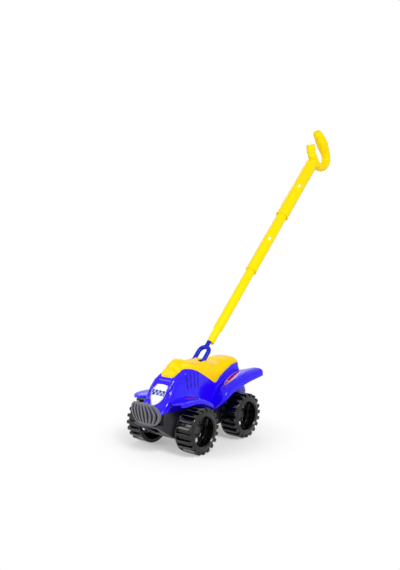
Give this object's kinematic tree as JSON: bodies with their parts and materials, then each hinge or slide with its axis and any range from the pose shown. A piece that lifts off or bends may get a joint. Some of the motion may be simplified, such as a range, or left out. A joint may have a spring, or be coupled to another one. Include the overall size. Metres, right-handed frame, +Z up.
{
  "type": "toddler push toy",
  "caption": "Moulded ride-style quad on lugged wheels, pushed by a telescopic pole that tilts on a fork and ends in an open C-shaped grip.",
  "frame": {"origin": "on the floor, under the middle of the whole toy's length and width, with the pole at its rest lean and drawn out", "axes": "+Z up, -Y the way the toy drives, +X to the toy's left"},
  "size_m": [0.164, 0.6674, 0.6448],
  "materials": {
    "body": "glossy violet-blue moulding",
    "seat_cover": "glossy warm yellow moulding",
    "pole": "smooth yellow moulding",
    "fork": "glossy blue moulding",
    "chassis": "satin grey moulding",
    "wheel": "glossy black moulding",
    "steel": "bright steel"
  },
  "bodies": {
    "quad": {"body_shell": "body", "seat_cover": "seat_cover", "chassis": "chassis", "front_grille": "chassis", "handle_pin": "steel", "front_axle": "steel", "rear_axle": "steel", "front_left_axle_cap": "chassis", "front_right_axle_cap": "chassis", "rear_left_axle_cap": "chassis", "rear_right_axle_cap": "chassis", "front_left_body_screw": "steel", "front_right_body_screw": "steel", "rear_left_body_screw": "steel", "rear_right_body_screw": "steel"},
    "handle": {"handle_fork": "fork", "lower_tube": "pole"},
    "middle": {"middle_tube": "pole"},
    "upper": {"upper_tube": "pole", "grip": "pole"},
    "front_left_wheel": {"front_left_wheel": "wheel"},
    "front_right_wheel": {"front_right_wheel": "wheel"},
    "rear_left_wheel": {"rear_left_wheel": "wheel"},
    "rear_right_wheel": {"rear_right_wheel": "wheel"}
  },
  "joints": [
    {"name": "front_left_wheel_spin", "type": "hinge", "parent": "quad", "child": "front_left_wheel", "pos_m": [0.0635, -0.24719, 0.045], "axis": [1, 0, 0], "continuous": true},
    {"name": "front_right_wheel_spin", "type": "hinge", "parent": "quad", "child": "front_right_wheel", "pos_m": [-0.0635, -0.24719, 0.045], "axis": [1, 0, 0], "continuous": true},
    {"name": "rear_left_wheel_spin", "type": "hinge", "parent": "quad", "child": "rear_left_wheel", "pos_m": [0.0635, -0.10819, 0.045], "axis": [1, 0, 0], "continuous": true},
    {"name": "rear_right_wheel_spin", "type": "hinge", "parent": "quad", "child": "rear_right_wheel", "pos_m": [-0.0635, -0.10819, 0.045], "axis": [1, 0, 0], "continuous": true},
    {"name": "handle_tilt", "type": "hinge", "parent": "quad", "child": "handle", "pos_m": [0, -0.17569, 0.14893], "axis": [1, 0, 0], "range_deg": [0, 46]},
    {"name": "middle_slide", "type": "slide", "parent": "handle", "child": "middle", "axis": [0, 0.7193, 0.6947], "range_m": [-0.14, 0]},
    {"name": "upper_slide", "type": "slide", "parent": "middle", "child": "upper", "axis": [0, 0.7193, 0.6947], "range_m": [-0.055, 0]}
  ]
}
